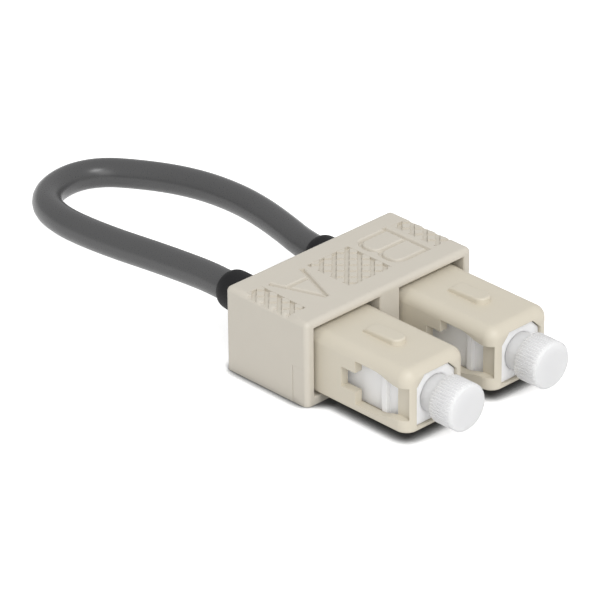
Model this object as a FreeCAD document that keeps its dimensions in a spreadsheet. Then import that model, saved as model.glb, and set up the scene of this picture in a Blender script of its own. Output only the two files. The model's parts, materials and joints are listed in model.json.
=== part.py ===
"""Duplex fibre loopback lead: two push-pull plugs side by side in one clip, joined by a short cable loop.

Millimetres. X runs from plug A to plug B, the plugs point to -Y, the cable leaves to +Y and Z is up.
The origin is the middle of the clip's flat underside.
"""

import FreeCAD, Part
import Sketcher

import math
import os
from types import SimpleNamespace

# Driving dimensions, each written once
SIZES = {
    # clip
    "pitch": 12.7,
    "clip_width": 24.8,
    "clip_depth": 12.35,
    "clip_height": 10.0,
    "clip_round": 0.6,
    "clip_rear_wall": 1.2,
    "passage_side_gap": 0.42,
    "passage_foot_gap": 0.325,
    "passage_roof_gap": 0.575,
    "passage_mouth_round": 0.25,
    "grip_rib_width": 0.8,
    "grip_rib_spacing": 4.0,
    "grip_rib_length": 5.0,
    "seat_gap": 0.05,
    # finger grips on top of the clip
    "knurl_pitch": 1.36,
    "knurl_depth": 0.42,
    "knurl_floor": 0.12,
    "knurl_pad": 0.45,
    "knurl_pad_drop": 0.03,
    "knurl_length": 6.7,
    "knurl_middle_width": 6.2,
    "knurl_end_width": 2.66,
    "knurl_end_pads": 1.48,
    "knurl_pads_back": 0.36,
    # outer housing
    "housing_width": 8.9,
    "housing_height": 7.3,
    "housing_lift": 0.2,
    "housing_reach": 13.15,
    "housing_corner": 1.5,
    "housing_top_round": 1.35,
    "housing_foot_round": 0.35,
    "housing_side_wall": 1.0,
    "band_lead": 1.0,
    "band_slope": 0.85,
    "band_length": 5.0,
    "band_side_rise": 0.34,
    "band_top_rise": 0.3,
    "front_opening_width": 5.95,
    "front_opening_height": 5.9,
    "opening_chamfer": 1.15,
    "front_bar_length": 2.25,
    "key_width": 1.9,
    "key_length": 5.1,
    "key_height": 0.72,
    "key_rear_height": 0.55,
    "key_setback": 4.95,
    "key_ramp": 0.6,
    "key_end_round": 0.85,
    "key_top_round": 0.25,
    # side window of the housing, distances from its nose
    "window_front": 0.27,
    "window_curve_front": 1.2,
    "window_curve_rear": 5.1,
    "window_step": 7.6,
    "window_rear": 9.65,
    "window_front_height": 3.8,
    "window_tall_height": 5.15,
    "window_rear_height": 2.3,
    # plug frame
    "frame_recess": 0.35,
    "frame_side_gap": 0.05,
    "frame_roof_gap": 0.07,
    "pull_travel": 1.5,
    "pull_stop_gap": 0.2,
    "ridge_length": 0.75,
    "ridge_slope": 0.3,
    "relief_length": 5.5,
    "relief_depth": 0.5,
    "frame_length": 17.9,
    "sleeve_bore": 4.3,
    "sleeve_depth": 6.3,
    "collar_length": 1.2,
    "collar_bore": 2.9,
    "spring_bore": 5.2,
    # ferrule, holder and spring
    "ferrule_diameter": 2.5,
    "ferrule_length": 10.5,
    "ferrule_proud": 0.85,
    "ferrule_chamfer": 0.3,
    "press_gap": 0.01,
    "flange_diameter": 4.9,
    "flange_length": 1.75,
    "holder_tail_diameter": 3.1,
    "holder_tail_length": 4.4,
    "float_travel": 0.8,
    "float_margin": 0.1,
    "spring_wire": 0.4,
    "spring_length": 5.0,
    "spring_turns": 5.0,
    "spring_side_gap": 0.2,
    # rear body, crimp ring, boot
    "insert_gap": 0.02,
    "stop_flange_diameter": 5.7,
    "stop_flange_length": 1.0,
    "tail_diameter": 2.6,
    "tail_length": 8.9,
    "fibre_diameter": 0.9,
    "fibre_gap": 0.15,
    "crimp_wall": 0.25,
    "crimp_setback": 0.6,
    "crimp_length": 6.4,
    "boot_setback": 0.3,
    "boot_length": 12.0,
    "boot_diameter": 5.1,
    "boot_straight": 5.0,
    "boot_end_diameter": 4.55,
    "boot_shoulder_round": 1.6,
    "boot_rim": 0.08,
    "boot_a_rise": 0.72,
    "boot_b_spread": 0.7,
    "boot_b_drop": 0.12,
    "boot_hole_gap": 0.45,
    # cable
    "cable_diameter": 3.4,
    "cable_end_gap": 0.2,
    "cable_exit_run": 1.6,
    # dust cap
    "cap_tube_gap": 0.08,
    "cap_bore_gap": 0.03,
    "cap_insert": 5.2,
    "cap_neck": 1.85,
    "cap_head_diameter": 5.4,
    "cap_head_length": 3.0,
    "cap_tip_gap": 0.35,
    "cap_edge": 0.25,
    "serration_depth": 0.14,
    "serration_count": 44,
}

# Free part of the cable's centre line, between the two boots. Each point has its plug (-1 for A, 1 for B)
# and its distances outwards from that plug's axis, back from the boots' ends and up from the plug axes.
CABLE_ROUTE = [
    (-1, 0.23, 6.6, 0.6),
    (-1, 0.8, 11.3, 0.5),
    (-1, 1.51, 15.9, 0.41),
    (-1, 1.9, 20.5, 0.3),
    (-1, 1.85, 24.9, 0.2),
    (-1, 0.65, 28.9, 0.1),
    (-1, -2.15, 31.5, 0.03),
    (-1, -6.25, 32.3, 0.0),
    (1, -3.05, 30.9, -0.02),
    (1, -0.65, 27.5, 0.03),
    (1, 1.35, 23.5, 0.12),
    (1, 2.5, 19.3, 0.21),
    (1, 2.87, 14.7, 0.25),
    (1, 2.6, 10.5, 0.18),
    (1, 1.9, 6.3, 0.02),
]
# Part of the shorter run that each arc of the cable takes up
ARC_SHARE = 0.45

doc = FreeCAD.newDocument("fibre_loopback")
sheet = doc.addObject("Spreadsheet::Sheet", "Sizes")
for row, (alias, number) in enumerate(SIZES.items(), start=1):
    sheet.set(f"A{row}", alias)
    sheet.set(f"B{row}", str(number))
    sheet.setAlias(f"B{row}", alias)
doc.recompute()


class Dim:
    """A size: its value now, and the expression that ties it to the sheet."""

    def __init__(self, value, text):
        self.value = value
        self.text = text

    @staticmethod
    def of(other):
        return other if isinstance(other, Dim) else Dim(other, str(other))

    def __add__(self, other):
        other = Dim.of(other)
        return Dim(self.value + other.value, f"({self.text} + {other.text})")

    def __sub__(self, other):
        other = Dim.of(other)
        return Dim(self.value - other.value, f"({self.text} - {other.text})")

    def __mul__(self, other):
        other = Dim.of(other)
        return Dim(self.value * other.value, f"({self.text} * {other.text})")

    def __truediv__(self, other):
        other = Dim.of(other)
        return Dim(self.value / other.value, f"({self.text} / {other.text})")

    def __neg__(self):
        return Dim(-self.value, f"(0 - {self.text})")


d = SimpleNamespace(**{alias: Dim(sheet.get(alias), f"Sizes.{alias}") for alias in SIZES})
ZERO = Dim(0.0, "0")

# Stations along Y, shared by the pieces that meet there
clip_front = -d.clip_depth / 2
clip_rear = d.clip_depth / 2
nose = clip_front - d.housing_reach
housing_rear = clip_rear - d.clip_rear_wall - d.seat_gap
bar_rear = nose + d.front_bar_length
frame_front = nose + d.frame_recess
ridge_front = bar_rear + d.pull_travel + d.pull_stop_gap
frame_rear = frame_front + d.frame_length
collar_front = frame_front + d.sleeve_depth
collar_rear = collar_front + d.collar_length
flange_front = collar_rear + d.seat_gap
flange_rear = flange_front + d.flange_length
ferrule_tip = frame_front - d.ferrule_proud
ferrule_rear = ferrule_tip + d.ferrule_length
spring_seat = flange_rear + d.spring_length
stop_rear = frame_rear + d.stop_flange_length
tail_rear = stop_rear + d.tail_length
crimp_front = stop_rear + d.crimp_setback
crimp_rear = crimp_front + d.crimp_length
boot_front = stop_rear + d.boot_setback
fibre_front = ferrule_rear + d.press_gap + d.float_travel + d.float_margin
cap_shoulder = frame_front - d.cap_neck
cap_tip = cap_shoulder - d.cap_head_length

# Heights and fits that more than one piece reads
passage_width = d.housing_width + d.passage_side_gap * 2
passage_height = d.housing_height + d.passage_foot_gap + d.passage_roof_gap
passage_floor = (d.clip_height - passage_height) / 2
passage_ceiling = passage_floor + passage_height
axis_height = passage_floor + d.passage_foot_gap + d.housing_height / 2 - d.housing_lift
housing_foot = d.housing_lift - d.housing_height / 2
housing_top = d.housing_lift + d.housing_height / 2
cavity_width = d.housing_width - d.housing_side_wall * 2
frame_width = cavity_width - d.frame_side_gap * 2
frame_nose_width = d.front_opening_width - d.frame_side_gap * 2
frame_height = d.front_opening_height - d.frame_roof_gap * 2
crimp_bore = d.tail_diameter + d.insert_gap * 2
crimp_diameter = crimp_bore + d.crimp_wall * 2
fibre_bore = d.fibre_diameter + d.fibre_gap * 2
tail_slide_bore = d.holder_tail_diameter + d.fibre_gap * 2
rear_body_diameter = d.spring_bore - d.insert_gap * 2


def bind(item, path, dim):
    item.setExpression(path, dim.text)


def new_body(label, x=ZERO, y=ZERO, z=ZERO):
    body = doc.addObject("PartDesign::Body", label)
    body.Label = label
    bind(body, "Placement.Base.x", x)
    bind(body, "Placement.Base.y", y)
    bind(body, "Placement.Base.z", z)
    return body


def origin_plane(body, role):
    return next(item for item in body.Origin.OriginFeatures if item.Role == role)


def sketch_on(body, role, offset=None):
    """A sketch on one of the body's own planes, moved along the plane's normal by offset."""
    sketch = body.newObject("Sketcher::SketchObject", body.Label + "_sketch")
    sketch.AttachmentSupport = [(origin_plane(body, role), "")]
    sketch.MapMode = "FlatFace"
    if offset is not None:
        bind(sketch, "AttachmentOffset.Base.z", offset)
    return sketch


def constrain(sketch, kind, refs, dim):
    index = sketch.addConstraint(Sketcher.Constraint(kind, *refs, dim.value))
    bind(sketch, f"Constraints[{index}]", dim)


def place_point(sketch, geometry, position, x, y):
    """Ties one end of a line or arc to the sheet, from the sketch's origin."""
    for kind, axis, dim in (("DistanceX", -2, x), ("DistanceY", -1, y)):
        if dim.text == "0":
            sketch.addConstraint(Sketcher.Constraint("PointOnObject", geometry, position, axis))
        else:
            constrain(sketch, kind, (-1, 1, geometry, position), dim)


def draw(sketch, corners):
    """A closed outline of corners (x, y), each reached by a line from the one before.
    A corner (x, y, (centre_x, centre_y, radius)) is reached by an arc."""
    ends = []
    for before, corner in zip([corners[-1]] + corners[:-1], corners):
        start = FreeCAD.Vector(before[0].value, before[1].value, 0)
        end = FreeCAD.Vector(corner[0].value, corner[1].value, 0)
        if len(corner) == 2:
            geometry = sketch.addGeometry(Part.LineSegment(start, end), False)
            ends.append((geometry, 1, 2))
            continue
        centre_x, centre_y, radius = corner[2]
        centre = FreeCAD.Vector(centre_x.value, centre_y.value, 0)
        turns_left = (start - centre).cross(end - centre).z > 0
        first, last = (start, end) if turns_left else (end, start)
        angles = [math.atan2(p.y - centre.y, p.x - centre.x) for p in (first, last)]
        ring = Part.Circle(centre, FreeCAD.Vector(0, 0, 1), radius.value)
        geometry = sketch.addGeometry(Part.ArcOfCircle(ring, angles[0], angles[1]), False)
        ends.append((geometry, 1, 2) if turns_left else (geometry, 2, 1))
    for (geometry, _, last), (other, first, _) in zip(ends, ends[1:] + ends[:1]):
        sketch.addConstraint(Sketcher.Constraint("Coincident", geometry, last, other, first))
    for (geometry, _, last), corner in zip(ends, corners):
        place_point(sketch, geometry, last, corner[0], corner[1])
        if len(corner) == 3:
            constrain(sketch, "Radius", (geometry,), corner[2][2])


def rectangle(sketch, left, right, bottom, top):
    draw(sketch, [(left, bottom), (right, bottom), (right, top), (left, top)])


def circle(sketch, x, y, diameter):
    ring = Part.Circle(FreeCAD.Vector(x.value, y.value, 0), FreeCAD.Vector(0, 0, 1), diameter.value / 2)
    geometry = sketch.addGeometry(ring, False)
    place_point(sketch, geometry, 3, x, y)
    constrain(sketch, "Diameter", (geometry,), diameter)


def feature(body, kind, sketch, length, backwards=False):
    """A Pad along the sketch's normal or a Pocket against it; backwards turns either round."""
    item = body.newObject(f"PartDesign::{kind}", f"{body.Label}_{kind.lower()}")
    item.Profile = sketch
    bind(item, "Length", length)
    item.Reversed = backwards
    doc.recompute()
    return item


def edge_names(shape, wanted):
    return [f"Edge{number}" for number, edge in enumerate(shape.Edges, start=1) if wanted(edge)]


def round_edges(body, base, radius, wanted):
    item = body.newObject("PartDesign::Fillet", f"{body.Label}_round")
    item.Base = (base, edge_names(base.Shape, wanted))
    bind(item, "Radius", radius)
    doc.recompute()
    return item


def near(a, b):
    return abs(a - b) < 1e-6


def root(dim):
    return Dim(math.sqrt(dim.value), f"sqrt({dim.text})")


def turned(label, x, profile, y=ZERO):
    """A turned piece about its plug's axis. The profile is a closed outline of (radius, y) corners."""
    body = new_body(label, x, y, axis_height)
    sketch = sketch_on(body, "XY_Plane")
    draw(sketch, profile)
    item = body.newObject("PartDesign::Revolution", label + "_revolution")
    item.Profile = sketch
    item.ReferenceAxis = (sketch, ["V_Axis"])
    item.Angle = 360
    doc.recompute()
    return body


# Duplex clip
PADS_PAST = 2


def square(sketch, x, y, side):
    rectangle(sketch, x - side / 2, x + side / 2, y - side / 2, y + side / 2)


def make_grip(label, left, right, pads_x):
    """What a finger grip leaves out of the clip: a shallow recess, less the four-sided pads that stand in it.
    Their rows run at 45 degrees, through a pad at pads_x, and on past each corner of the recess."""
    tool = new_body(label)
    floor = d.clip_height - d.knurl_depth
    recess = sketch_on(tool, "XY_Plane", floor)
    rectangle(recess, left, right, -d.knurl_length / 2, d.knurl_length / 2)
    feature(tool, "Pad", recess, d.knurl_depth * 2)
    reach = (right - left + d.knurl_length) / math.sqrt(2) / d.knurl_pitch
    count = Dim(math.ceil(reach.value) + PADS_PAST, f"(ceil({reach.text}) + {PADS_PAST})")
    steps = Dim(count.value // 2, f"floor({count.text} / 2)")
    along = (pads_x + d.knurl_pads_back) / math.sqrt(2) - steps * d.knurl_pitch
    across = (d.knurl_pads_back - pads_x) / math.sqrt(2) - steps * d.knurl_pitch
    foot = sketch_on(tool, "XY_Plane", floor)
    head = sketch_on(tool, "XY_Plane", d.clip_height - d.knurl_pad_drop)
    for sketch, side in ((foot, d.knurl_pitch - d.knurl_floor), (head, d.knurl_pad)):
        sketch.AttachmentOffset.Rotation = FreeCAD.Rotation(FreeCAD.Vector(0, 0, 1), 45)
        square(sketch, along, across, side)
    pad = tool.newObject("PartDesign::SubtractiveLoft", label + "_pad")
    pad.Profile = foot
    pad.Sections = [head]
    rows = tool.newObject("PartDesign::LinearPattern", label + "_rows")
    rows.Originals = [pad]
    for number, axis in (("", "H_Axis"), ("2", "V_Axis")):
        setattr(rows, "Direction" + number, (foot, [axis]))
        setattr(rows, "Mode" + number, "Spacing")
        bind(rows, "Offset" + number, d.knurl_pitch)
        bind(rows, "Occurrences" + number, count)
    tool.Tip = rows
    doc.recompute()
    return tool


def make_clip():
    """A moulded box: two passages for the housings, two round holes for the boots and three finger grips."""
    body = new_body("duplex_clip")
    plan = sketch_on(body, "XY_Plane")
    rectangle(plan, -d.clip_width / 2, d.clip_width / 2, clip_front, clip_rear)
    block = feature(body, "Pad", plan, d.clip_height)
    top = d.clip_height.value
    round_edges(body, block, d.clip_round, lambda edge: edge.BoundBox.ZMax > top / 2)
    passages = sketch_on(body, "XZ_Plane", -clip_front)
    holes = sketch_on(body, "XZ_Plane", -clip_rear)
    ribs = sketch_on(body, "XZ_Plane", -(clip_rear - d.clip_rear_wall))
    rib_top = axis_height + housing_foot - d.seat_gap
    rib_underside = axis_height + housing_top + d.seat_gap
    for axis in (-d.pitch / 2, d.pitch / 2):
        side = passage_width / 2
        rectangle(passages, axis - side, axis + side, passage_floor, passage_ceiling)
        circle(holes, axis, axis_height, d.boot_diameter + d.boot_hole_gap * 2)
        for middle in (axis - d.grip_rib_spacing / 2, axis + d.grip_rib_spacing / 2):
            left = middle - d.grip_rib_width / 2
            right = middle + d.grip_rib_width / 2
            rectangle(ribs, left, right, passage_floor / 2, rib_top)
            rectangle(ribs, left, right, rib_underside, (passage_ceiling + d.clip_height) / 2)
    bay = feature(body, "Pocket", passages, d.clip_depth - d.clip_rear_wall)

    front = clip_front.value
    low = passage_floor.value / 2
    high = (passage_ceiling.value + top) / 2 - d.clip_round.value / 2

    def at_mouth(edge):
        box = edge.BoundBox
        return near(box.YMin, front) and near(box.YMax, front) and box.ZMin > low and box.ZMax < high

    round_edges(body, bay, d.passage_mouth_round, at_mouth)
    feature(body, "Pocket", holes, d.clip_rear_wall, backwards=True)
    feature(body, "Pad", ribs, d.grip_rib_length)
    end = d.clip_width / 2
    pads = end - d.knurl_end_pads
    middle = d.knurl_middle_width / 2
    inner = end - d.knurl_end_width
    outer = end + d.knurl_depth
    grips = body.newObject("PartDesign::Boolean", "finger_grips")
    grips.Type = "Cut"
    grips.Group = [
        make_grip("grip_middle", -middle, middle, d.knurl_pitch / math.sqrt(2)),
        make_grip("grip_left", -outer, -inner, -pads),
        make_grip("grip_right", inner, outer, pads),
    ]
    doc.recompute()
    return body


def chamfered_section(sketch, width, height, chamfer):
    """A rectangle about the plug's axis with its two upper corners cut off."""
    half = width / 2
    top = height / 2
    draw(sketch, [(-half, -top), (half, -top), (half, top - chamfer), (half - chamfer, top),
                  (-(half - chamfer), top), (-half, top - chamfer)])


def arch(sketch, half, foot, top, radius):
    """A rectangle about the plug's axis with its two upper corners rounded."""
    flat = half - radius
    turn = top - radius
    draw(sketch, [(half, foot), (half, turn), (flat, top, (flat, turn, radius)),
                  (-flat, top), (-half, turn, (-flat, turn, radius)), (-half, foot)])


def curve_radius(length, rise):
    """Radius of each of two equal arcs that make an S of the given length and rise."""
    return (length * length + rise * rise) / (rise * 4)


def window_outline(sketch):
    """Side window in Y and Z: a short rear slot, a tall bay, and S-curves down to the front bar."""
    front = nose + d.window_front
    curve_front = nose + d.window_curve_front
    curve_rear = nose + d.window_curve_rear
    step = nose + d.window_step
    rear = nose + d.window_rear
    low = d.window_front_height / 2
    tall = d.window_tall_height / 2
    slot = d.window_rear_height / 2
    radius = curve_radius(curve_rear - curve_front, tall - low)
    middle_y = (curve_front + curve_rear) / 2
    middle_z = (low + tall) / 2
    draw(sketch, [
        (front, -low),
        (curve_front, -low),
        (middle_y, -middle_z, (curve_front, -low - radius, radius)),
        (curve_rear, -tall, (curve_rear, -tall + radius, radius)),
        (step, -tall),
        (step, -slot),
        (rear, -slot),
        (rear, slot),
        (step, slot),
        (step, tall),
        (curve_rear, tall),
        (middle_y, middle_z, (curve_rear, tall - radius, radius)),
        (curve_front, low, (curve_front, low + radius, radius)),
        (front, low),
    ])


# Outer housing of each plug
def make_housing(name, x):
    """The sliding sleeve: a rounded box, open right through, with a key on top and a window in each side.
    A wider band, which slopes up in front of the clip, fills the clip's passage."""
    body = new_body(f"outer_housing_{name}", x, z=axis_height)
    half = d.housing_width / 2
    flat = half - d.housing_corner
    turn = nose + d.housing_corner
    plan = sketch_on(body, "XY_Plane", housing_foot)
    draw(plan, [
        (-half, housing_rear),
        (-half, turn),
        (-flat, nose, (-flat, turn, d.housing_corner)),
        (flat, nose),
        (half, turn, (flat, turn, d.housing_corner)),
        (half, housing_rear),
    ])
    block = feature(body, "Pad", plan, d.housing_height)
    rear_y = housing_rear.value
    top_z = housing_top.value

    def on_rim(edge, height):
        box = edge.BoundBox
        return near(box.ZMin, height) and near(box.ZMax, height) and not near(box.YMin, rear_y)

    shoulder = round_edges(body, block, d.housing_top_round, lambda edge: on_rim(edge, top_z))
    round_edges(body, shoulder, d.housing_foot_round, lambda edge: on_rim(edge, housing_foot.value))
    slope_front = clip_front - d.band_lead
    sections = []
    for y, out, up in (
        (slope_front, -d.seat_gap, -d.seat_gap),
        (slope_front + d.band_slope, d.band_side_rise, d.band_top_rise),
        (clip_front + d.band_length, d.band_side_rise, d.band_top_rise),
    ):
        section = sketch_on(body, "XZ_Plane", -y)
        foot = housing_foot + d.housing_foot_round
        arch(section, half + out, foot, housing_top + up, d.housing_top_round + up)
        sections.append(section)
    band = body.newObject("PartDesign::AdditiveLoft", body.Label + "_band")
    band.Profile = sections[0]
    band.Sections = sections[1:]
    band.Ruled = True
    doc.recompute()
    cavity = sketch_on(body, "XZ_Plane", -housing_rear)
    chamfered_section(cavity, cavity_width, d.front_opening_height, d.opening_chamfer)
    feature(body, "Pocket", cavity, housing_rear - bar_rear, backwards=True)
    opening = sketch_on(body, "XZ_Plane", -nose)
    chamfered_section(opening, d.front_opening_width, d.front_opening_height, d.opening_chamfer)
    feature(body, "Pocket", opening, d.front_bar_length)

    # key: a ridge that ramps up from the rear and ends in a rounded front
    key_front = nose + d.key_setback
    key_rear = key_front + d.key_length
    key_foot = housing_top - d.key_height
    side = sketch_on(body, "YZ_Plane", -d.key_width / 2)
    draw(side, [
        (key_front, key_foot),
        (key_rear, key_foot),
        (key_rear, housing_top),
        (key_rear - d.key_ramp, housing_top + d.key_rear_height),
        (key_front, housing_top + d.key_height),
    ])
    key = feature(body, "Pad", side, d.key_width)
    front_y = key_front.value
    bar = round_edges(body, key, d.key_end_round,
                      lambda edge: near(edge.BoundBox.YMin, front_y) and near(edge.BoundBox.YMax, front_y)
                      and near(edge.BoundBox.XMin, edge.BoundBox.XMax) and edge.BoundBox.ZMax > top_z)
    rim_z = top_z + d.key_rear_height.value / 2
    round_edges(body, bar, d.key_top_round,
                lambda edge: edge.BoundBox.ZMin > rim_z and edge.BoundBox.YMax < slope_front.value)
    window = sketch_on(body, "YZ_Plane", half)
    window_outline(window)
    cut = feature(body, "Pocket", window, d.housing_side_wall)
    pair = body.newObject("PartDesign::Mirrored", body.Label + "_mirror")
    pair.Originals = [cut]
    pair.MirrorPlane = (origin_plane(body, "YZ_Plane"), [""])
    body.Tip = pair
    doc.recompute()
    return body


# Plug frame of each plug
def make_frame(name, x):
    """The white inner body: a slim nose, a latch ridge before a relief in each side, and a stepped bore."""
    body = new_body(f"plug_frame_{name}", x, z=axis_height)
    wide = sketch_on(body, "XZ_Plane", -frame_rear)
    chamfered_section(wide, frame_width, frame_height, d.opening_chamfer)
    feature(body, "Pad", wide, frame_rear - ridge_front)
    slim = sketch_on(body, "XZ_Plane", -ridge_front)
    chamfered_section(slim, frame_nose_width, frame_height, d.opening_chamfer)
    feature(body, "Pad", slim, ridge_front - frame_front)

    # reliefs behind the ridges, where an adapter's hooks close in
    relief = sketch_on(body, "XY_Plane", frame_height / 2)
    outside = frame_width / 2
    floor = outside - d.relief_depth
    ridge_rear = ridge_front + d.ridge_length
    floor_front = ridge_rear + d.ridge_slope
    relief_rear = ridge_rear + d.relief_length
    for side in (-1, 1):
        edge = outside * side
        bottom = floor * side
        draw(relief, [(edge, ridge_rear), (edge, relief_rear), (bottom, relief_rear), (bottom, floor_front)])
    feature(body, "Pocket", relief, frame_height)

    front_bore = sketch_on(body, "XZ_Plane", -frame_front)
    circle(front_bore, ZERO, ZERO, d.sleeve_bore)
    feature(body, "Pocket", front_bore, d.sleeve_depth)
    rear_bore = sketch_on(body, "XZ_Plane", -frame_rear)
    circle(rear_bore, ZERO, ZERO, d.spring_bore)
    feature(body, "Pocket", rear_bore, frame_rear - collar_rear, backwards=True)
    collar = sketch_on(body, "XZ_Plane", -collar_front)
    circle(collar, ZERO, ZERO, d.collar_bore)
    feature(body, "Pocket", collar, d.collar_length)
    return body


# Turned pieces inside each plug
def make_ferrule(name, x):
    """Ceramic ferrule with a chamfered tip."""
    radius = d.ferrule_diameter / 2
    return turned(f"ferrule_{name}", x, [
        (ZERO, ferrule_tip),
        (radius - d.ferrule_chamfer, ferrule_tip),
        (radius, ferrule_tip + d.ferrule_chamfer),
        (radius, ferrule_rear),
        (ZERO, ferrule_rear),
    ])


def make_holder(name, x):
    """Metal flange that grips the ferrule, with a tail that guides the spring."""
    socket = d.ferrule_diameter / 2 + d.press_gap
    bottom = ferrule_rear + d.press_gap
    tail_end = flange_rear + d.holder_tail_length
    return turned(f"ferrule_holder_{name}", x, [
        (socket, flange_front),
        (d.flange_diameter / 2, flange_front),
        (d.flange_diameter / 2, flange_rear),
        (d.holder_tail_diameter / 2, flange_rear),
        (d.holder_tail_diameter / 2, tail_end),
        (fibre_bore / 2, tail_end),
        (fibre_bore / 2, bottom),
        (socket, bottom),
    ])


def make_rear_body(name, x):
    """Stop that closes the frame behind the spring, with a tail for the crimp ring."""
    pocket = spring_seat + d.float_travel * 2
    return turned(f"rear_body_{name}", x, [
        (tail_slide_bore / 2, spring_seat),
        (rear_body_diameter / 2, spring_seat),
        (rear_body_diameter / 2, frame_rear),
        (d.stop_flange_diameter / 2, frame_rear),
        (d.stop_flange_diameter / 2, stop_rear),
        (d.tail_diameter / 2, stop_rear),
        (d.tail_diameter / 2, tail_rear),
        (fibre_bore / 2, tail_rear),
        (fibre_bore / 2, pocket),
        (tail_slide_bore / 2, pocket),
    ])


def make_crimp(name, x):
    """Metal tube crimped over the tail."""
    return turned(f"crimp_ring_{name}", x, [
        (crimp_bore / 2, crimp_front),
        (crimp_diameter / 2, crimp_front),
        (crimp_diameter / 2, crimp_rear),
        (crimp_bore / 2, crimp_rear),
    ])


def make_boot(name, x):
    """Soft strain relief, drawn from its own front: wide over the crimp ring, tapered to a round shoulder.
    The cable bends boot A up, and boot B out and down. The bore widens to keep the crimp ring clear."""
    out, up = {"a": (ZERO, d.boot_a_rise), "b": (d.boot_b_spread, -d.boot_b_drop)}[name]
    lean = root(out * out + up * up)
    hinge = FreeCAD.Vector(up.value, 0, -out.value)
    end = d.boot_end_diameter / 2
    grip = d.cable_diameter / 2 + d.insert_gap
    rim = grip + d.boot_rim
    inward = d.boot_shoulder_round - (end - rim)
    shoulder = d.boot_length - root(d.boot_shoulder_round * d.boot_shoulder_round - inward * inward)
    bore = crimp_diameter / 2 + d.insert_gap * 2
    bore_end = crimp_rear - boot_front
    wide_bore = bore + lean * bore_end / d.boot_length
    pocket_end = tail_rear + d.cable_end_gap - boot_front
    body = turned(f"boot_{name}", x, [
        (bore, ZERO),
        (d.boot_diameter / 2, ZERO),
        (d.boot_diameter / 2, d.boot_straight),
        (end, shoulder),
        (rim, d.boot_length, (end - d.boot_shoulder_round, shoulder, d.boot_shoulder_round)),
        (grip, d.boot_length),
        (grip, pocket_end),
        (wide_bore, pocket_end),
        (wide_bore, bore_end),
    ], boot_front)
    share = lean / d.boot_length
    angle = Dim(math.degrees(math.asin(share.value)), f"asin({share.text})")
    body.Placement.Rotation = FreeCAD.Rotation(hinge, angle.value)
    bind(body, "Placement.Rotation.Angle", angle)
    doc.recompute()
    return body


def make_fibre(name, x):
    """Buffered fibre between the ferrule holder and the cable."""
    return turned(f"fibre_{name}", x, [
        (ZERO, fibre_front),
        (d.fibre_diameter / 2, fibre_front),
        (d.fibre_diameter / 2, tail_rear),
        (ZERO, tail_rear),
    ])


def make_spring(name, x):
    """Coil spring between the holder's flange and the rear body."""
    coil = doc.addObject("Part::Helix", f"spring_line_{name}")
    free = d.spring_length - d.spring_wire - d.seat_gap * 2
    radius = d.holder_tail_diameter / 2 + d.spring_side_gap + d.spring_wire / 2
    bind(coil, "Height", free)
    bind(coil, "Pitch", free / d.spring_turns)
    bind(coil, "Radius", radius)
    wire = doc.addObject("Part::Circle", f"spring_wire_{name}")
    bind(wire, "Radius", d.spring_wire / 2)
    bind(wire, "Placement.Base.x", radius)
    wire.Placement.Rotation = FreeCAD.Rotation(FreeCAD.Vector(1, 0, 0), 90)
    doc.recompute()
    spring = doc.addObject("Part::Sweep", f"ferrule_spring_{name}")
    spring.Label = f"ferrule_spring_{name}"
    spring.Sections = [wire]
    spring.Spine = (coil, [f"Edge{number + 1}" for number in range(len(coil.Shape.Edges))])
    spring.Solid = True
    spring.Frenet = True
    doc.recompute()
    spring.Placement.Rotation = FreeCAD.Rotation(FreeCAD.Vector(1, 0, 0), -90)
    bind(spring, "Placement.Base.x", x)
    bind(spring, "Placement.Base.y", flange_rear + d.seat_gap + d.spring_wire / 2)
    bind(spring, "Placement.Base.z", axis_height)
    doc.recompute()
    return spring


# Dust cap of each plug
def make_cap(name, x):
    """Moulded cap: a tube that slips over the ferrule, and a serrated head to pull it by."""
    tube = d.sleeve_bore / 2 - d.cap_tube_gap
    bore = d.ferrule_diameter / 2 + d.cap_bore_gap
    head = d.cap_head_diameter / 2
    inner = frame_front + d.cap_insert
    body = turned(f"dust_cap_{name}", x, [
        (ZERO, cap_tip),
        (head - d.cap_edge, cap_tip),
        (head, cap_tip + d.cap_edge),
        (head, cap_shoulder),
        (tube, cap_shoulder),
        (tube, inner),
        (bore, inner),
        (bore, ferrule_tip - d.cap_tip_gap),
        (ZERO, ferrule_tip - d.cap_tip_gap),
    ])
    # one V-shaped valley in the head, repeated all round
    valley = sketch_on(body, "XZ_Plane", -cap_shoulder)
    half = d.cap_head_diameter * math.pi / d.serration_count / 2
    outside = head + d.serration_depth
    draw(valley, [(-half, outside), (ZERO, head - d.serration_depth), (half, outside)])
    cut = feature(body, "Pocket", valley, d.cap_head_length, backwards=True)
    ring = body.newObject("PartDesign::PolarPattern", body.Label + "_ring")
    ring.Originals = [cut]
    ring.Axis = (next(item for item in body.Origin.OriginFeatures if item.Role == "Y_Axis"), [""])
    bind(ring, "Occurrences", d.serration_count)
    body.Tip = ring
    doc.recompute()
    return body


# Cable
def boot_line(boot, distances):
    """Points on a boot's leaning axis, at distances from its front."""
    return [boot.Placement.multVec(FreeCAD.Vector(0, distance.value, 0)) for distance in distances]


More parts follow.
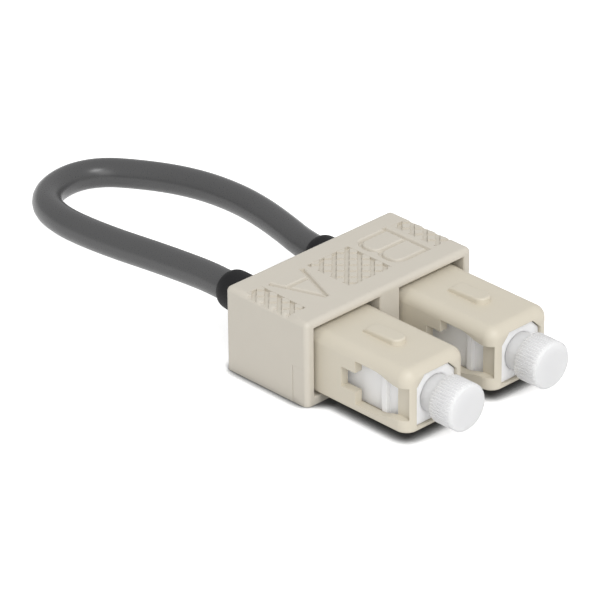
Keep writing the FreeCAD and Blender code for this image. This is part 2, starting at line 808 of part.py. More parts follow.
def make_cable(boot_a, boot_b):
    """The jacketed loop: straight runs joined by tangent arcs, each as large as its runs allow."""
    inside = tail_rear + d.cable_end_gap - boot_front
    outside = d.boot_length + d.cable_exit_run
    boot_rear = boot_front + d.boot_length
    points = boot_line(boot_a, [inside, outside])
    for side, out, back, up in CABLE_ROUTE:
        x = (d.pitch / 2 + out) * side
        points.append(FreeCAD.Vector(x.value, (boot_rear + back).value, (axis_height + up).value))
    points += boot_line(boot_b, [outside, inside])
    edges = []
    radii = []
    last = points[0]
    for before, corner, after in zip(points, points[1:], points[2:]):
        back = (before - corner).normalize()
        ahead = (after - corner).normalize()
        reach = ARC_SHARE * min((before - corner).Length, (after - corner).Length)
        half_turn = (math.pi - back.getAngle(ahead)) / 2
        radius = reach / math.tan(half_turn)
        radii.append(round(radius, 1))
        inward = (back + ahead).normalize()
        start = corner + back * reach
        middle = corner + inward * (radius / math.cos(half_turn) - radius)
        end = corner + ahead * reach
        edges.append(Part.LineSegment(last, start).toShape())
        edges.append(Part.Arc(start, middle, end).toShape())
        last = end
    edges.append(Part.LineSegment(last, points[-1]).toShape())
    path = Part.Wire(edges)
    radius = d.cable_diameter.value / 2
    section = Part.Wire(Part.Circle(points[0], points[1] - points[0], radius).toShape())
    cable = doc.addObject("Part::Feature", "cable")
    cable.Label = "cable"
    cable.Shape = path.makePipeShell([section], True, True)
    cable.Placement = FreeCAD.Placement()
    share = cable.Shape.Volume / (math.pi * radius ** 2 * path.Length)
    print("cable length", round(path.Length, 1), "volume share", round(share, 4), "radii", radii)
    return cable


parts = [make_clip()]
boots = []
for name, x in (("a", -d.pitch / 2), ("b", d.pitch / 2)):
    for make in (make_housing, make_frame, make_ferrule, make_holder, make_spring, make_rear_body,
                 make_crimp, make_fibre, make_cap):
        parts.append(make(name, x))
    boots.append(make_boot(name, x))
parts += boots
parts.append(make_cable(*boots))
doc.recompute()

for item in doc.Objects:
    if "Invalid" in item.State or "Error" in item.State:
        raise RuntimeError(f"{item.Label} failed: {item.State}")
for part in parts:
    if part.Shape.isNull() or not part.Shape.isValid() or len(part.Shape.Solids) != 1:
        raise RuntimeError(f"{part.Label} has no single valid solid")

os.makedirs("parts", exist_ok=True)
for part in parts:
    part.Shape.exportStep(f"parts/{part.Label}.step")
print("wrote", len(parts), "parts")
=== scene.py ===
import json
import math

import bmesh
import bpy
from mathutils import Matrix, Vector

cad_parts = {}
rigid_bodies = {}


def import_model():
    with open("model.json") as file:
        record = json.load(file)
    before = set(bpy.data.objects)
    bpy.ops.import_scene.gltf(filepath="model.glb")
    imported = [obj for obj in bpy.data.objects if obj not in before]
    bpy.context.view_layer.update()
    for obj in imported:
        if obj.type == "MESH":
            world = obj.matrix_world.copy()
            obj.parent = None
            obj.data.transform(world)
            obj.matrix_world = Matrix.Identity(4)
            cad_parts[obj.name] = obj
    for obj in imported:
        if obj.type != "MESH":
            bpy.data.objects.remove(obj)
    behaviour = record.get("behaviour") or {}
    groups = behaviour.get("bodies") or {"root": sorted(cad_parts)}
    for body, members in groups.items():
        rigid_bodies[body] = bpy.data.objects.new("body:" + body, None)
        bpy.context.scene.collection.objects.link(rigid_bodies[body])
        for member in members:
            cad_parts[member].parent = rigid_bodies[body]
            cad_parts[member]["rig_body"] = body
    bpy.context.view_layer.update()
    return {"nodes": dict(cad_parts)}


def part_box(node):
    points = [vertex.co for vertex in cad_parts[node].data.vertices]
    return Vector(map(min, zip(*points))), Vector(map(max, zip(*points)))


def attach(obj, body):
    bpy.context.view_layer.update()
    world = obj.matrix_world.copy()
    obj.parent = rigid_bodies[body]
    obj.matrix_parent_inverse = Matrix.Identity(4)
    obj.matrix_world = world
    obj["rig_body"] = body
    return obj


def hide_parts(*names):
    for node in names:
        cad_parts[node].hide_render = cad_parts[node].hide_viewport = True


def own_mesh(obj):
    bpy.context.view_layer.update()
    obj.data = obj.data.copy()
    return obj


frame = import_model()


# Duplex clip: one moulded block of grey-beige plastic, with two passages that hold the plugs at their pitch.
# Its body is the CAD solid's. The mould's broad grip pads, insert line and letters A and B are cut in here.
# Shapes are worked in millimetres and brought to metres at the end.
MM = 0.001
CLIP_END = 12.4
CLIP_FRONT = -6.175
CLIP_TOP = 10.0
CLIP_ROUND = 0.6
CLIP_EDGE = 0.06
CLIP_BEIGE = (0.625, 0.584, 0.508)
MERGE_DISTANCE = 0.0005
SHARP_EDGE = math.radians(30)


def link(name, data):
    """A new object of the scene that holds the data."""
    piece = bpy.data.objects.new(name, data)
    bpy.context.scene.collection.objects.link(piece)
    return piece


def from_cad(node):
    """A CAD node's shape in millimetres, with its loose triangles merged."""
    shape = bmesh.new()
    shape.from_mesh(frame["nodes"][node].data)
    bmesh.ops.scale(shape, vec=Vector((1, 1, 1)) / MM, verts=shape.verts)
    bmesh.ops.remove_doubles(shape, verts=shape.verts, dist=MERGE_DISTANCE)
    return shape


def round_edges(shape, edges, radius, segments):
    """Rolls a rounding along some edges."""
    bmesh.ops.bevel(shape, geom=edges, offset=radius, offset_type="OFFSET", segments=segments, profile=0.5,
                    affect="EDGES", clamp_overlap=True, material=-1)


def soften(shape, radius):
    """Rounds every sharp edge a little, as a mould does."""
    sharp = [edge for edge in shape.edges if edge.is_manifold and edge.calc_face_angle() > SHARP_EDGE]
    round_edges(shape, sharp, radius, segments=2)


def to_mesh(shape, name, scale=1):
    """The shape as a smooth-shaded mesh that keeps its sharp edges."""
    for face in shape.faces:
        face.smooth = True
    for edge in shape.edges:
        edge.smooth = edge.is_manifold and edge.calc_face_angle() < SHARP_EDGE
    bmesh.ops.scale(shape, vec=Vector((1, 1, 1)) * scale, verts=shape.verts)
    mesh = bpy.data.meshes.new(name)
    shape.to_mesh(mesh)
    shape.free()
    return mesh


def make(shape, name, scale=1):
    """The shape as an object of the scene, with its place in its mesh."""
    return link(name, to_mesh(shape, name, scale))


clip_shape = from_cad("duplex_clip")
soften(clip_shape, CLIP_EDGE)
clip = make(clip_shape, "moulded_clip")

# finger grips: their recesses are filled to the pads' height, then grooves at 45 degrees part the pads
# each grip has its two ends and the middle of one pad, along x
GRIPS = ((-3.09, 3.09, 0.962), (9.75, 12.82, 10.92), (-12.82, -9.75, -10.92))
GRIP_HALF_LENGTH = 3.34
PAD_HEIGHT = 9.972
PAD_PITCH = 1.36
PADS_BACK = 0.36
FILLER_FOOT = 0.1
# each set of grooves has the way it slants, its depth and how far it stops short of the grip's ends
GROOVE_SETS = ((1, 0.3, 0.0), (-1, 0.18, 0.015))
GROOVE_SLANT = math.radians(45)
GROOVE_COUNT = 12
GROOVE_HALF = 0.29
GROOVE_FLOOR_HALF = 0.25
GROOVE_RISE = 0.12
GROOVE_REACH = 9.0


def cut(piece, cutter, operation="DIFFERENCE"):
    """Takes the cutter's shape out of the piece, or adds it."""
    groove = piece.modifiers.new("groove", "BOOLEAN")
    groove.object = cutter
    groove.operation = operation
    groove.solver = "EXACT"
    view = bpy.context.evaluated_depsgraph_get()
    piece.data = bpy.data.meshes.new_from_object(piece.evaluated_get(view))
    piece.modifiers.clear()
    bpy.data.objects.remove(cutter)


def add_box(shape, low, high):
    """A box between two corners; gives its vertices."""
    verts = bmesh.ops.create_cube(shape, size=1)["verts"]
    bmesh.ops.scale(shape, vec=Vector(high) - Vector(low), verts=verts)
    bmesh.ops.translate(shape, vec=(Vector(high) + Vector(low)) / 2, verts=verts)
    return verts


def grip_grooves(pad_x, slant, depth):
    """A row of straight grooves on the slant, a little wider at the top than at the floor."""
    grooves = bmesh.new()
    low = (-1, -GROOVE_REACH, PAD_HEIGHT - depth)
    high = (1, GROOVE_REACH, PAD_HEIGHT + GROOVE_RISE)
    for count in range(-GROOVE_COUNT // 2, GROOVE_COUNT // 2):
        for vert in add_box(grooves, low, high):
            half = GROOVE_HALF if vert.co.z > PAD_HEIGHT else GROOVE_FLOOR_HALF
            vert.co.x = vert.co.x * half + (count + 0.5) * PAD_PITCH
    place = Matrix.Translation((pad_x, PADS_BACK, 0)) @ Matrix.Rotation(-slant * GROOVE_SLANT, 4, "Z")
    bmesh.ops.transform(grooves, matrix=place, verts=grooves.verts)
    return grooves


def trim(shape, point, outward):
    """Takes off what lies beyond a plane, and closes the cut ends."""
    everything = shape.verts[:] + shape.edges[:] + shape.faces[:]
    bmesh.ops.bisect_plane(shape, geom=everything, plane_co=point, plane_no=outward, clear_outer=True)
    bmesh.ops.holes_fill(shape, edges=[edge for edge in shape.edges if edge.is_boundary])


sunk = CLIP_TOP - PAD_HEIGHT
filler = bmesh.new()
add_box(filler, (sunk - CLIP_END, CLIP_FRONT + sunk, CLIP_TOP - CLIP_ROUND - FILLER_FOOT),
        (CLIP_END - sunk, -CLIP_FRONT - sunk, PAD_HEIGHT))
middle = PAD_HEIGHT - CLIP_ROUND / 2
upper_edges = [edge for edge in filler.edges if max(vert.co.z for vert in edge.verts) > middle]
round_edges(filler, upper_edges, CLIP_ROUND - sunk, segments=8)
cut(clip, make(filler, "grip_filler"), "UNION")
for left, right, pad_x in GRIPS:
    for slant, depth, inset in GROOVE_SETS:
        half_length = GRIP_HALF_LENGTH - inset
        grooves = grip_grooves(pad_x, slant, depth)
        trim(grooves, (left + inset, 0, 0), (-1, 0, 0))
        trim(grooves, (right - inset, 0, 0), (1, 0, 0))
        trim(grooves, (0, -half_length, 0), (0, -1, 0))
        trim(grooves, (0, half_length, 0), (0, 1, 0))
        bmesh.ops.recalc_face_normals(grooves, faces=grooves.faces)
        cut(clip, make(grooves, "grip_grooves"))

# witness line of a mould insert, low on the side of plug A
INSERT_REAR = -4.05
INSERT_TOP = 4.4
UPRIGHT_LINE_DEPTH = 0.05
LEVEL_LINE_DEPTH = 0.015
LINE_HALF = 0.05
CUT_MARGIN = 0.3


def box_cutter(low, high):
    """A box between two corners, to cut with."""
    shape = bmesh.new()
    add_box(shape, low, high)
    return make(shape, "box_cutter")


outside = -CLIP_END - CUT_MARGIN
cut(clip, box_cutter((outside, INSERT_REAR - LINE_HALF, -CUT_MARGIN),
                     (UPRIGHT_LINE_DEPTH - CLIP_END, INSERT_REAR + LINE_HALF, INSERT_TOP)))
cut(clip, box_cutter((outside, CLIP_FRONT - CUT_MARGIN, INSERT_TOP - LINE_HALF),
                     (LEVEL_LINE_DEPTH - CLIP_END, INSERT_REAR, INSERT_TOP + LINE_HALF)))

# letters, read from the cable's side
LETTER_WIDTH = 0.76
LETTER_LIP = 0.1
LETTER_SLOT = 0.48
LETTER_FLOOR = 0.26
LETTER_DEPTH = 0.36
LETTER_RISE = 0.06
TURN_STEPS = 8
A_MIDDLE = -6.36
A_HALF = 2.4
A_FOOT = 3.16
A_BAR = 1.29
A_TOP = -3.19
B_SPINE = 8.84
B_REACH = 4.7
B_CORNER = 1.2
B_FOOT = 3.21
B_WAIST = 0.16
B_TOP = -3.09


def sweep(shape, rim, steps):
    """Draws a tube on from its open rim, one step's matrix after another, and gives the new rim."""
    for step in steps:
        grown = bmesh.ops.extrude_edge_only(shape, edges=rim)["geom"]
        ends = {item for item in grown if isinstance(item, bmesh.types.BMVert)}
        edges = [item for item in grown if isinstance(item, bmesh.types.BMEdge)]
        rim = [edge for edge in edges if ends.issuperset(edge.verts)]
        bmesh.ops.transform(shape, matrix=step, verts=list(ends))
    return rim


def letter_cutter(start, heading, moves):
    """One stroke of a letter, a soft-lipped groove. Each move has a length, a radius and an angle:
    it runs straight on by the length or, where it has a radius, turns left on that by the angle.
    The heading at the start is turned left from +Y. Angles are in degrees."""
    shape = bmesh.new()
    half_slot = LETTER_SLOT / 2
    half_floor = LETTER_FLOOR / 2
    spread = half_slot + (LETTER_WIDTH / 2 - half_slot) * (1 + LETTER_RISE / LETTER_LIP)
    section = [(-half_floor, -LETTER_DEPTH), (half_floor, -LETTER_DEPTH), (half_slot, -LETTER_LIP),
               (spread, LETTER_RISE), (-spread, LETTER_RISE), (-half_slot, -LETTER_LIP)]
    corners = [shape.verts.new((across, 0, CLIP_TOP + up)) for across, up in section]
    rim = [shape.edges.new(pair) for pair in zip(corners, corners[1:] + corners[:1])]
    place = Matrix.Translation((*start, 0)) @ Matrix.Rotation(math.radians(heading), 4, "Z")
    bmesh.ops.transform(shape, matrix=place, verts=corners)
    for length, radius, angle in moves:
        ahead = place.to_3x3() @ Vector((0, length, 0))
        steps = [Matrix.Translation(ahead)]
        if radius:
            centre = Matrix.Translation(place @ Vector((-radius, 0, 0)))
            turn = Matrix.Rotation(math.radians(angle / TURN_STEPS), 4, "Z")
            steps = [centre @ turn @ centre.inverted()] * TURN_STEPS
        rim = sweep(shape, rim, steps)
        for step in steps:
            place = step @ place
    bmesh.ops.holes_fill(shape, edges=[edge for edge in shape.edges if edge.is_boundary])
    bmesh.ops.recalc_face_normals(shape, faces=shape.faces)
    return make(shape, "letter_cutter")


a_height = A_FOOT - A_TOP
leg_angle = math.degrees(math.atan2(A_HALF, a_height))
leg = (math.hypot(A_HALF, a_height), 0, 0)
bar_half = A_HALF * (A_BAR - A_TOP) / a_height
cut(clip, letter_cutter((A_MIDDLE - A_HALF, A_FOOT), 180 + leg_angle, [leg]))
cut(clip, letter_cutter((A_MIDDLE + A_HALF, A_FOOT), 180 - leg_angle, [leg]))
cut(clip, letter_cutter((A_MIDDLE + bar_half, A_BAR), 90, [(2 * bar_half, 0, 0)]))
spine = (B_FOOT - B_TOP + LETTER_WIDTH, 0, 0)
cut(clip, letter_cutter((B_SPINE, B_FOOT + LETTER_WIDTH / 2), 180, [spine]))
straight = (B_REACH - B_CORNER, 0, 0)
corner = (0, B_CORNER, 90)
for rear, front, rest in ((B_WAIST, B_TOP, [straight]), (B_FOOT, B_WAIST, [])):
    side = (rear - front - 2 * B_CORNER, 0, 0)
    cut(clip, letter_cutter((B_SPINE, rear), 90, [straight, corner, side, corner] + rest))

# slivers that the cuts left are merged away, so that flat faces shade flat
SLIVER = 0.001
clip_shape = bmesh.new()
clip_shape.from_mesh(clip.data)
bmesh.ops.remove_doubles(clip_shape, verts=clip_shape.verts, dist=SLIVER)
bmesh.ops.dissolve_degenerate(clip_shape, edges=clip_shape.edges, dist=SLIVER)
clip.data = to_mesh(clip_shape, "moulded_clip", MM)

# plastic with a fine grain, whose sizes are in millimetres
GRAIN_SIZE = 0.11
DRIFT_SIZE = 3.5
GLOSS_SWING = 0.2


class Value:
    """A shader socket that takes part in plain sums."""

    def __init__(self, nodes, socket):
        self.nodes = nodes
        self.socket = socket

    def sum(self, operation, other):
        """A Math node on this value and another one or a number."""
        return self.nodes.node("ShaderNodeMath", {"operation": operation}, {0: self, 1: other}, 0)

    def __add__(self, other):
        return self.sum("ADD", other)

    def __mul__(self, other):
        return self.sum("MULTIPLY", other)

    __radd__ = __add__
    __rmul__ = __mul__


class Nodes:
    """A tree of shader nodes."""

    def __init__(self, tree):
        self.tree = tree

    def node(self, kind, settings, inputs, output):
        """A node with its settings, then the values or links of its sockets; gives one of its outputs."""
        made = self.tree.nodes.new(kind)
        for setting, value in settings.items():
            setattr(made, setting, value)
        for name, value in inputs.items():
            self.feed(made.inputs[name], value)
        return Value(self, made.outputs[output])

    def feed(self, socket, value):
        """Links a value to a socket, or sets a constant on it."""
        if isinstance(value, Value):
            self.tree.links.new(value.socket, socket)
        else:
            socket.default_value = value


class Surface(Nodes):
    """A material of procedural nodes round one Principled shader."""

    def __init__(self, name):
        self.material = bpy.data.materials.new(name)
        self.material.use_nodes = True
        super().__init__(self.material.node_tree)
        self.shader = self.tree.nodes["Principled BSDF"]

    def set(self, **inputs):
        """Feeds the shader's own sockets, each by its name in small letters."""
        for name, value in inputs.items():
            title = name.replace("_", " ").title().replace("Ior", "IOR")
            self.feed(self.shader.inputs[title], value)

    def noise(self, size, detail):
        """Cloudy values about 0.5, with clouds of the given size in millimetres."""
        place = self.node("ShaderNodeTexCoord", {}, {}, "Object")
        clouds = {"Vector": place, "Scale": 1 / (size * MM), "Detail": detail}
        return self.node("ShaderNodeTexNoise", {}, clouds, 0)

    def blend(self, share, low, high):
        """A colour between two, by a value from 0 to 1."""
        colours = {0: share, 6: (*low, 1), 7: (*high, 1)}
        return self.node("ShaderNodeMix", {"data_type": "RGBA"}, colours, 2)

    def grain(self, height, depth):
        """A bumped normal; depth is in millimetres."""
        relief = {"Height": height, "Distance": depth * MM, "Strength": 1.0}
        return self.node("ShaderNodeBump", {}, relief, "Normal")


def moulded(name, colour, drift, roughness, grain_depth, **constants):
    """Moulded plastic: its tone drifts a little over the piece, and a fine grain breaks up its gloss.
    The constants are inputs of the shader that are the same all over."""
    surface = Surface(name)
    fine = surface.noise(GRAIN_SIZE, detail=3)
    broad = surface.noise(DRIFT_SIZE, detail=2)
    low = [channel * (1 - drift) for channel in colour]
    high = [channel * (1 + drift) for channel in colour]
    surface.set(
        base_color=surface.blend(broad, low, high),
        roughness=fine * GLOSS_SWING + (roughness - GLOSS_SWING / 2),
        normal=surface.grain(fine, grain_depth),
        **constants,
    )
    return surface.material


def finish_piece(piece, node, surface):
    """The piece gets its material, rides on its body and takes its CAD node's place; flat faces stay so."""
    if piece.type == "MESH":
        piece.modifiers.new("flat faces", "WEIGHTED_NORMAL").keep_sharp = True
    piece.data.materials.clear()
    piece.data.materials.append(surface)
    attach(piece, frame["nodes"][node]["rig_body"])
    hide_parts(node)


clip_plastic = moulded("clip plastic", CLIP_BEIGE, drift=0.02, roughness=0.5, grain_depth=0.004)
finish_piece(clip, "duplex_clip", clip_plastic)


# Outer housings: the push-pull sleeves of the plugs, moulded in a warmer beige and pressed into the clip.
# Each is the CAD solid with its mould edges softened.
# The band round its rear is drawn in, so that it starts gently.
SIDES = {"a": -1, "b": 1}
HALF_PITCH = 6.35
AXIS_HEIGHT = 4.675
HOUSING_EDGE = 0.1
HOUSING_ROUND = 1.35
HOUSING_CORE_HALF = 3.1
HOUSING_CORE_TOP = 2.5
HOUSING_BEIGE = (0.655, 0.604, 0.498)
BAND_START = -7.4
BAND_SHARE = 0.15
FLAT = math.radians(0.2)


def merge_flat(shape):
    """Joins the triangles of flat faces, so that no crease shows in them."""
    bmesh.ops.dissolve_limit(shape, angle_limit=FLAT, verts=shape.verts, edges=shape.edges)


housing_plastic = moulded("housing plastic", HOUSING_BEIGE, drift=0.02, roughness=0.45, grain_depth=0.003)
for side, direction in SIDES.items():
    shape = from_cad(f"outer_housing_{side}")
    merge_flat(shape)
    soften(shape, HOUSING_EDGE)
    for vert in shape.verts:
        x = vert.co.x - direction * HALF_PITCH
        z = vert.co.z - AXIS_HEIGHT
        core_x = max(-HOUSING_CORE_HALF, min(HOUSING_CORE_HALF, x))
        out = Vector((x - core_x, 0, max(0, z - HOUSING_CORE_TOP)))
        if vert.co.y > BAND_START and out.length > HOUSING_ROUND:
            vert.co -= out.normalized() * (out.length - HOUSING_ROUND) * (1 - BAND_SHARE)
    housing = make(shape, f"moulded_housing_{side}", MM)
    finish_piece(housing, f"outer_housing_{side}", housing_plastic)


# Plug frames: the white inner bodies that carry the ferrules, snapped into the housings from behind.
# They are moulded plastic that lets a little light in, and show through the side windows and front openings.
FRAME_EDGE = 0.06
FRAME_ROUND = 0.45
FRAME_WHITE = (0.94, 0.94, 0.945)
SLANT_LEAST = math.radians(35)
SLANT_MOST = math.radians(55)
STRAIGHT_SHARE = 0.99


def is_slanted_corner(edge):
    """Whether an outer edge runs along the plug, where two faces meet at about 45 degrees."""
    if not (edge.is_manifold and edge.is_convex):
        return False
    run = abs(edge.verts[0].co.y - edge.verts[1].co.y)
    return SLANT_LEAST < edge.calc_face_angle() < SLANT_MOST and run > STRAIGHT_SHARE * edge.calc_length()


frame_plastic = moulded("frame plastic", FRAME_WHITE, drift=0.01, roughness=0.45, grain_depth=0.002,
                        subsurface_weight=0.6, subsurface_radius=(1, 1, 1), subsurface_scale=0.8 * MM)
for side in SIDES:
    shape = from_cad(f"plug_frame_{side}")
    merge_flat(shape)
    corners = [edge for edge in shape.edges if is_slanted_corner(edge)]
    round_edges(shape, corners, FRAME_ROUND, segments=4)
    soften(shape, FRAME_EDGE)
    plug_frame = make(shape, f"moulded_frame_{side}", MM)
    finish_piece(plug_frame, f"plug_frame_{side}", frame_plastic)


# Dust caps: soft white plastic thimbles, moulded with a serrated head, pushed over the ferrules' tips.
# The serrations are the CAD solid's.
# Each tube is a little wider here, as its soft skin fills the frame's bore.
CAP_EDGE = 0.05
CAP_WHITE = (0.74, 0.74, 0.745)
TUBE_RADIUS = 2.07
TUBE_SWELL = 0.07
TUBE_TOLERANCE = 0.01
cap_plastic = moulded("cap plastic", CAP_WHITE, drift=0.01, roughness=0.6, grain_depth=0.002,
                      subsurface_weight=1.0, subsurface_radius=(1, 1, 1), subsurface_scale=2.5 * MM)
for side, direction in SIDES.items():
    shape = from_cad(f"dust_cap_{side}")
    for vert in shape.verts:
        spoke = Vector((vert.co.x - direction * HALF_PITCH, 0, vert.co.z - AXIS_HEIGHT))
        if abs(spoke.length - TUBE_RADIUS) < TUBE_TOLERANCE:
            vert.co += spoke.normalized() * TUBE_SWELL
    soften(shape, CAP_EDGE)
    cap = make(shape, f"moulded_cap_{side}", MM)
    finish_piece(cap, f"dust_cap_{side}", cap_plastic)


# Inner works: ceramic ferrules in nickel-plated holders, steel springs, plastic stops, brass crimp rings and
# the buffered fibre, turned, drawn, wound or moulded, and hidden in the plugs. They stay the CAD nodes,
# but for the springs: those are copies.
RING_STRETCH = (1, 12, 1)
RING_SCALE = 900.0
RING_SWING = 0.15
RING_DIP = 0.07


def turned_metal(name, colour, roughness, streak):
    """Turned or drawn metal, with fine rings across its axis."""
    surface = Surface(name)
    place = surface.node("ShaderNodeTexCoord", {}, {}, "Object")
    stretched = surface.node("ShaderNodeMapping", {}, {"Vector": place, "Scale": RING_STRETCH}, 0)
    pattern = {"Vector": stretched, "Scale": RING_SCALE, "Detail": 2.0}
    rings = surface.node("ShaderNodeTexNoise", {}, pattern, 0)
    low = [channel * (1 - streak) for channel in colour]
    surface.set(
        base_color=surface.blend(rings, low, colour),
        roughness=rings * RING_SWING + (roughness - RING_DIP),
        metallic=1.0,
    )
    return surface.material


INNER_FINISHES = {
    "ferrule": moulded("polished ceramic", (0.82, 0.82, 0.8), drift=0.01, roughness=0.2, grain_depth=0.0005),
    "ferrule_holder": turned_metal("nickel plate", (0.66, 0.65, 0.62), roughness=0.28, streak=0.1),
    "rear_body": moulded("stop plastic", (0.7, 0.7, 0.7), drift=0.02, roughness=0.45, grain_depth=0.002),
    "crimp_ring": turned_metal("drawn brass", (0.68, 0.56, 0.34), roughness=0.35, streak=0.15),
    "fibre": moulded("fibre buffer", (0.75, 0.42, 0.08), drift=0.02, roughness=0.4, grain_depth=0.001),
}
for part, material in INNER_FINISHES.items():
    for side in SIDES:
        node = frame["nodes"][f"{part}_{side}"]
        node.data.materials.clear()
        node.data.materials.append(material)

spring_steel = turned_metal("spring steel", (0.5, 0.5, 0.51), roughness=0.35, streak=0.15)
for side, direction in SIDES.items():
    node = f"ferrule_spring_{side}"
    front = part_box(node)[0][1] / MM
    spring = make(from_cad(node), f"wound_spring_{side}", MM)
    finish_piece(spring, node, spring_steel)
    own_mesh(spring)


# Boots: black rubber strain reliefs, moulded as soft tapered sleeves, pushed over the crimp rings and cable.
# The bent cable leans them a little.
BOOT_BLACK = (0.015, 0.015, 0.016)
boot_rubber = moulded("boot rubber", BOOT_BLACK, drift=0.1, roughness=0.6, grain_depth=0.004,
                      specular_ior_level=0.2)
for side in SIDES:
    boot = make(from_cad(f"boot_{side}"), f"rubber_boot_{side}", MM)
    finish_piece(boot, f"boot_{side}", boot_rubber)


# Cable: one fibre in a dark grey extruded jacket, bent into a stiff loop between the two boots.
# Its route has the points of the part's own cable: each boot's leaning line, then the free loop.
CABLE_DIAMETER = 3.4
CABLE_GREY = (0.078, 0.078, 0.079)
CABLE_INSIDE = 8.8
CABLE_OUTSIDE = 13.6
BOOT_FRONT = 0.225
BOOT_LENGTH = 12.0
BOOT_LEAN = {"a": Vector((0, 0, 0.72)), "b": Vector((0.7, 0, -0.12))}
# each point of the loop: its side, its way out from that plug's axis, back from the boots' ends, and up
LOOP = [
    (-1, 0.23, 6.6, 0.6), (-1, 0.8, 11.3, 0.5), (-1, 1.51, 15.9, 0.41), (-1, 1.9, 20.5, 0.3),
    (-1, 1.85, 24.9, 0.2), (-1, 0.65, 28.9, 0.1), (-1, -2.15, 31.5, 0.03), (-1, -6.25, 32.3, 0.0),
    (1, -3.05, 30.9, -0.02), (1, -0.65, 27.5, 0.03), (1, 1.35, 23.5, 0.12), (1, 2.5, 19.3, 0.21),
    (1, 2.87, 14.7, 0.25), (1, 2.6, 10.5, 0.18), (1, 1.9, 6.3, 0.02),
]


def boot_point(side, distance):
    """A point on a boot's leaning axis, at a distance from its front."""
    lean = BOOT_LEAN[side] / BOOT_LENGTH
    along = Vector((0, math.sqrt(1 - lean.length_squared), 0)) + lean
    return Vector((SIDES[side] * HALF_PITCH, BOOT_FRONT, AXIS_HEIGHT)) + along * distance


route = [boot_point("a", CABLE_INSIDE), boot_point("a", CABLE_OUTSIDE)]
for direction, out, back, up in LOOP:
    route.append(Vector((direction * (HALF_PITCH + out), BOOT_FRONT + BOOT_LENGTH + back, AXIS_HEIGHT + up)))
route += [boot_point("b", CABLE_OUTSIDE), boot_point("b", CABLE_INSIDE)]
line = bpy.data.curves.new("cable_jacket", "CURVE")
line.dimensions = "3D"
line.bevel_depth = CABLE_DIAMETER * MM / 2
line.bevel_resolution = 8
line.resolution_u = 16
line.use_fill_caps = True
spline = line.splines.new("NURBS")
spline.points.add(len(route) - 1)
for point, place in zip(spline.points, route):
    point.co = (*(place * MM), 1)
spline.order_u = 3
spline.use_endpoint_u = True
cable = link("cable_jacket", line)
cable_jacket = moulded("cable jacket", CABLE_GREY, drift=0.05, roughness=0.3, grain_depth=0.002)
finish_piece(cable, "cable", cable_jacket)
boot_point("a", BOOT_LENGTH) * MM


# Table: a plain white surface that reads as white to the camera and keeps the shadow under the object.
# Along the object's foot, where little of the room is seen, that shadow is deepened by painted shade: an
# ambient occlusion mask darkens the paper's colour and glow.
FLOOR_HALF = 1.5
FLOOR_GAP = 0.02
FLOOR_TONE = 0.8
FLOOR_GLOW = 0.65
# the painted shade along the foot: its colour, its reach in millimetres, and the ambient occlusion levels
# over which it fades out
FOOT_PAINTED_SHADE = 0.09
FOOT_REACH = 1.9
FOOT_DARK = 0.54
FOOT_CLEAR = 0.87
WHITE_RAYS = ("Is Camera Ray", "Is Glossy Ray", "Is Transmission Ray")
shape = bmesh.new()
bmesh.ops.create_grid(shape, x_segments=1, y_segments=1, size=FLOOR_HALF)
bmesh.ops.translate(shape, vec=(0, 0, -FLOOR_GAP * MM), verts=shape.verts)
floor = make(shape, "table")
paper = Surface("table paper")
seen = sum(paper.node("ShaderNodeLightPath", {}, {}, ray) for ray in WHITE_RAYS)
# painted shade: near the object the ambient occlusion darkens the paper's colour and its glow
openness = paper.node("ShaderNodeAmbientOcclusion", {"samples": 8}, {"Distance": FOOT_REACH * MM}, "AO")
painted_shade_range = {"Value": openness, "From Min": FOOT_DARK, "From Max": FOOT_CLEAR}
clear = paper.node("ShaderNodeMapRange", {}, painted_shade_range, 0)
paper.set(
    base_color=paper.blend(clear, [FOOT_PAINTED_SHADE] * 3, [FLOOR_TONE] * 3),
    roughness=0.9,
    emission_color=paper.blend(clear * seen, (0, 0, 0), (1, 1, 1)),
    emission_strength=FLOOR_GLOW,
)
floor.data.materials.append(paper.material)


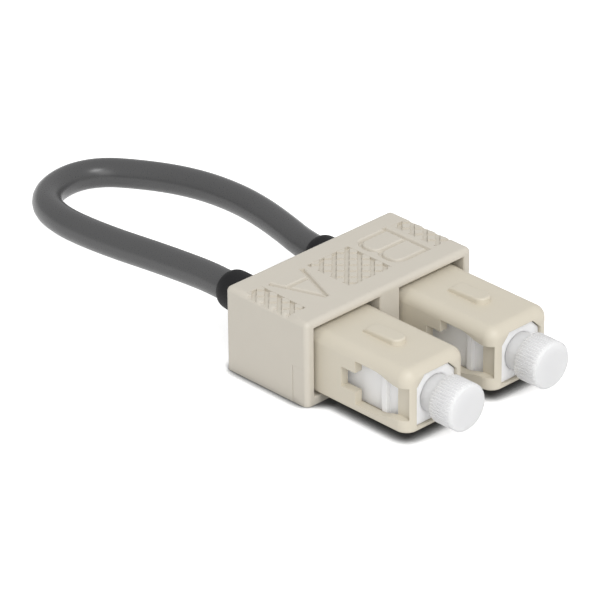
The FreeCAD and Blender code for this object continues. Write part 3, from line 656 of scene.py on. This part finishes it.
# Studio light: an even white room, a soft lamp before the plugs' noses and a weaker one behind the camera.
# The camera sees the room itself as white.
ROOM_LEVEL = 0.63
room = bpy.data.worlds.new("room")
room.use_nodes = True
walls = Nodes(room.node_tree)
backdrop = walls.tree.nodes["Background"]
to_camera = walls.node("ShaderNodeLightPath", {}, {}, "Is Camera Ray")
level = walls.node("ShaderNodeMapRange", {}, {"Value": to_camera, "To Min": ROOM_LEVEL}, 0)
walls.feed(backdrop.inputs["Color"], (1, 1, 1, 1))
walls.feed(backdrop.inputs["Strength"], level)
bpy.context.scene.world = room


def softbox(name, place, size, power):
    """A square lamp, in metres and watts, aimed at the object."""
    lamp = bpy.data.lights.new(name, "AREA")
    lamp.size = size
    lamp.energy = power
    holder = link(name, lamp)
    holder.location = place
    holder.rotation_euler = (-Vector(place)).to_track_quat("-Z", "Y").to_euler()


softbox("key_softbox", place=(-0.13, -0.43, 0.536), size=0.25, power=1.75)
softbox("fill_softbox", place=(-0.4, -0.46, 0.345), size=0.4, power=1.0)


# Camera: the photograph's place and lens, worked out from the plugs' 12.7 mm pitch.
# It looks at the target from a distance in millimetres, with a slight roll.
CAMERA_AZIMUTH = math.radians(-43.94)
CAMERA_HEIGHT = math.radians(28.42)
CAMERA_ROLL = math.radians(-0.53)
CAMERA_DISTANCE = 519.0
CAMERA_TARGET = Vector((-1.426, 6.139, 4.083))
FOCAL_PIXELS = 4813
FRAME_PIXELS = 600
SENSOR = 36.0
back = Vector((math.sin(CAMERA_AZIMUTH) * math.cos(CAMERA_HEIGHT),
               -math.cos(CAMERA_AZIMUTH) * math.cos(CAMERA_HEIGHT), math.sin(CAMERA_HEIGHT)))
right = Vector((math.cos(CAMERA_AZIMUTH), math.sin(CAMERA_AZIMUTH), 0))
turned_right = Matrix.Rotation(CAMERA_ROLL, 3, back) @ right
lens = bpy.data.cameras.new("camera")
lens.sensor_width = SENSOR
lens.lens = SENSOR * FOCAL_PIXELS / FRAME_PIXELS
lens.clip_start = 0.01
camera = link("camera", lens)
axes = Matrix((turned_right, back.cross(turned_right), back)).transposed()
camera.matrix_world = Matrix.Translation((CAMERA_TARGET + back * CAMERA_DISTANCE) * MM) @ axes.to_4x4()
bpy.context.scene.camera = camera
bpy.context.scene.view_settings.view_transform = "Standard"
